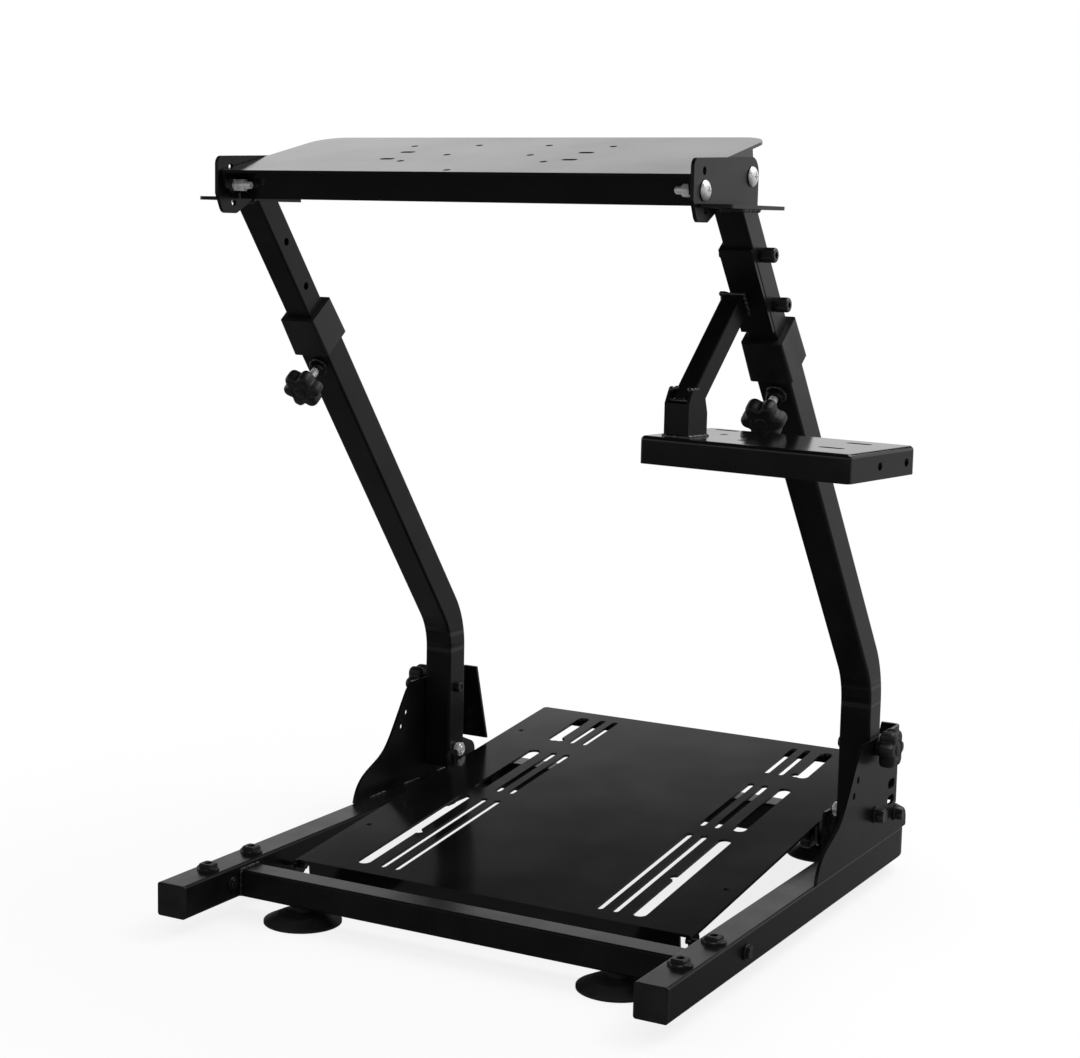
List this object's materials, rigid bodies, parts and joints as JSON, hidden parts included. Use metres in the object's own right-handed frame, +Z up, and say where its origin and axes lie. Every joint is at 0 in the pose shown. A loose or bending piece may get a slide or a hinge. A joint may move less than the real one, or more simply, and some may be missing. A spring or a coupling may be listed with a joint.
{
  "type": "racing wheel stand",
  "caption": "Folding floor stand of black steel tube for a racing game's wheel, pedals and shifter, with a tilting wheel plate and a slotted pedal plate.",
  "frame": {"origin": "on the floor, under the middle of the stand's box", "axes": "+X to the driver's right, +Y away from the driver, +Z up"},
  "size_m": [0.6432, 0.6182, 0.696],
  "materials": {
    "frame_paint": "satin",
    "plate_paint": "gloss",
    "moulded_black": "matte",
    "foot_rubber": "matte",
    "dark_bolt": "satin",
    "zinc_bolt": "satin"
  },
  "bodies": {
    "base": {"front_crossbar": "frame_paint", "rear_bar": "frame_paint", "left_rail": "frame_paint", "right_rail": "frame_paint", "left_rail_cap": "moulded_black", "right_rail_cap": "moulded_black", "left_front_foot": "foot_rubber", "right_front_foot": "foot_rubber", "left_rear_foot": "foot_rubber", "right_rear_foot": "foot_rubber", "left_near_anchor": "moulded_black", "right_near_anchor": "moulded_black", "left_far_anchor": "moulded_black", "right_far_anchor": "moulded_black", "left_bracket": "frame_paint", "right_bracket": "frame_paint", "left_pivot_bolt": "dark_bolt", "right_pivot_bolt": "dark_bolt", "left_fold_knob": "moulded_black", "right_fold_knob": "moulded_black", "left_pedal_bolt": "dark_bolt", "right_pedal_bolt": "dark_bolt", "left_tilt_lug": "frame_paint", "right_tilt_lug": "frame_paint"},
    "uprights": {"left_upright": "frame_paint", "right_upright": "frame_paint", "left_collar": "moulded_black", "right_collar": "moulded_black", "left_height_knob": "moulded_black", "right_height_knob": "moulded_black"},
    "masts": {"left_inner_tube": "frame_paint", "right_inner_tube": "frame_paint", "left_holder": "frame_paint", "right_holder": "frame_paint", "left_wheel_pivot": "zinc_bolt", "right_wheel_pivot": "zinc_bolt", "shifter_angle": "frame_paint", "shifter_brace": "frame_paint", "shifter_gusset": "frame_paint", "shifter_pan": "plate_paint", "lower_shifter_bolt": "dark_bolt", "upper_shifter_bolt": "dark_bolt"},
    "wheel_plate": {"wheel_plate": "plate_paint"},
    "pedal_plate": {"pedal_plate": "plate_paint", "left_pedal_knob": "moulded_black", "right_pedal_knob": "moulded_black"}
  },
  "joints": [
    {"name": "upright_fold", "type": "hinge", "parent": "base", "child": "uprights", "pos_m": [-0.05377, 0.13892, 0.077], "axis": [1, 0, 0], "range_deg": [0, 48]},
    {"name": "height_slide", "type": "slide", "parent": "uprights", "child": "masts", "axis": [0, -0.6115, 0.7912], "range_m": [0, 0.1]},
    {"name": "wheel_tilt", "type": "hinge", "parent": "masts", "child": "wheel_plate", "pos_m": [-0.05377, -0.14958, 0.663], "axis": [1, 0, 0], "range_deg": [-9.5, 9.5]},
    {"name": "pedal_tilt", "type": "hinge", "parent": "base", "child": "pedal_plate", "pos_m": [-0.05377, -0.16108, 0.031], "axis": [1, 0, 0], "range_deg": [-2, 4]}
  ]
}
